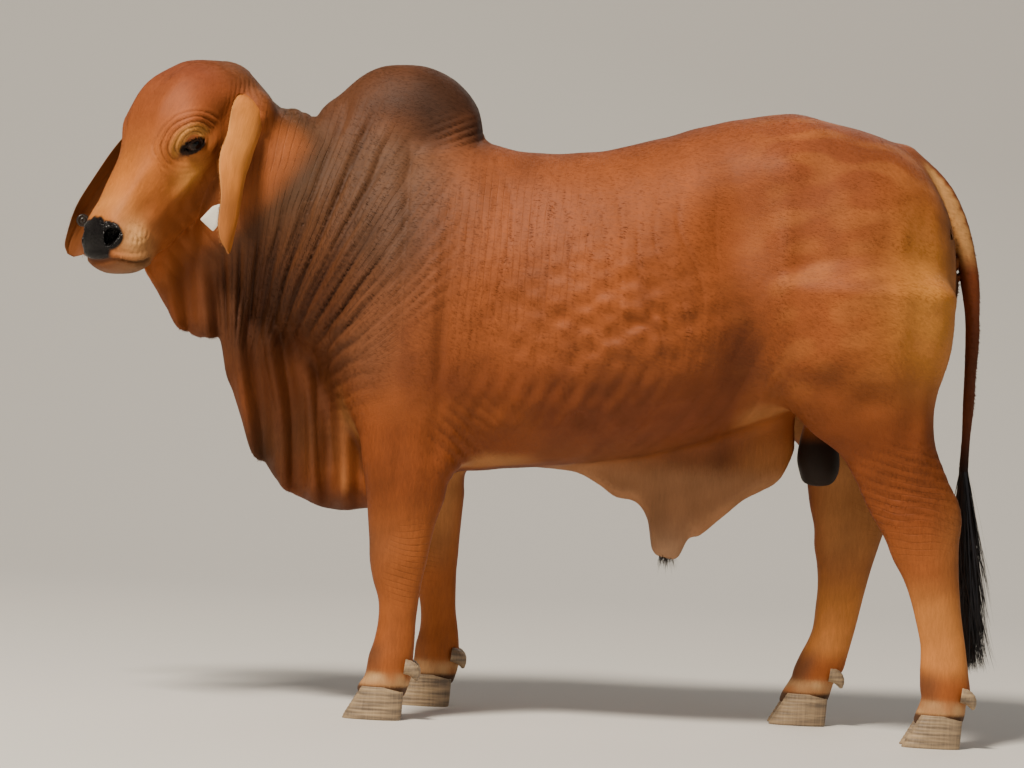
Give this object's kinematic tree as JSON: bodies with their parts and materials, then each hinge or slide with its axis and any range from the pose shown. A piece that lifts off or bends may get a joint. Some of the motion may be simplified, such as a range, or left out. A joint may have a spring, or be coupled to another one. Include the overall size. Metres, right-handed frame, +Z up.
{
  "type": "brahman bull",
  "caption": "Life-size still figure of a standing red Brahman bull with hump, pleated dewlap, hanging ears, pendulous sheath and black tail switch.",
  "frame": {"origin": "on the floor, under the middle of the bull's bounding box", "axes": "muzzle towards -X, the bull's left side towards -Y, +Z up"},
  "size_m": [2.1954, 0.7526, 1.5332],
  "materials": {
    "red_hide": "short glossy red-brown summer coat",
    "dark_hide": "short dark brown coat over folded skin",
    "face_hide": "short tan coat",
    "sheath_hide": "thin short-haired greyish tan skin",
    "scrotum_skin": "bare black skin",
    "nose_leather": "moist black pebbled skin",
    "hoof_horn": "dull grey-tan horn",
    "eye_globe": "wet dark brown eye",
    "tag_plastic": "weathered moulded sheet",
    "switch_hair": "coarse black hair"
  },
  "bodies": {
    "root": {"torso": "red_hide", "hump": "dark_hide", "neck": "dark_hide", "dewlap": "dark_hide", "head": "face_hide", "lower_lip": "red_hide", "nose_pad": "nose_leather", "eye_left": "eye_globe", "ear_left": "face_hide", "eye_right": "eye_globe", "ear_right": "face_hide", "tag_button_right": "tag_plastic", "ear_tag_left": "tag_plastic", "foreleg_left_upper": "red_hide", "foreleg_left_lower": "red_hide", "foreleg_left_claw_outer": "hoof_horn", "foreleg_left_dewclaw_outer": "hoof_horn", "foreleg_left_claw_inner": "hoof_horn", "foreleg_left_dewclaw_inner": "hoof_horn", "foreleg_right_upper": "red_hide", "foreleg_right_lower": "red_hide", "foreleg_right_claw_outer": "hoof_horn", "foreleg_right_dewclaw_outer": "hoof_horn", "foreleg_right_claw_inner": "hoof_horn", "foreleg_right_dewclaw_inner": "hoof_horn", "hindleg_left_upper": "red_hide", "hindleg_left_lower": "red_hide", "hindleg_left_claw_outer": "hoof_horn", "hindleg_left_dewclaw_outer": "hoof_horn", "hindleg_left_claw_inner": "hoof_horn", "hindleg_left_dewclaw_inner": "hoof_horn", "hindleg_right_upper": "red_hide", "hindleg_right_lower": "red_hide", "hindleg_right_claw_outer": "hoof_horn", "hindleg_right_dewclaw_outer": "hoof_horn", "hindleg_right_claw_inner": "hoof_horn", "hindleg_right_dewclaw_inner": "hoof_horn", "sheath": "sheath_hide", "scrotum": "scrotum_skin", "tail_root": "red_hide", "tail_middle": "red_hide", "tail_lower": "red_hide", "tail_switch": "switch_hair"}
  },
  "joints": []
}
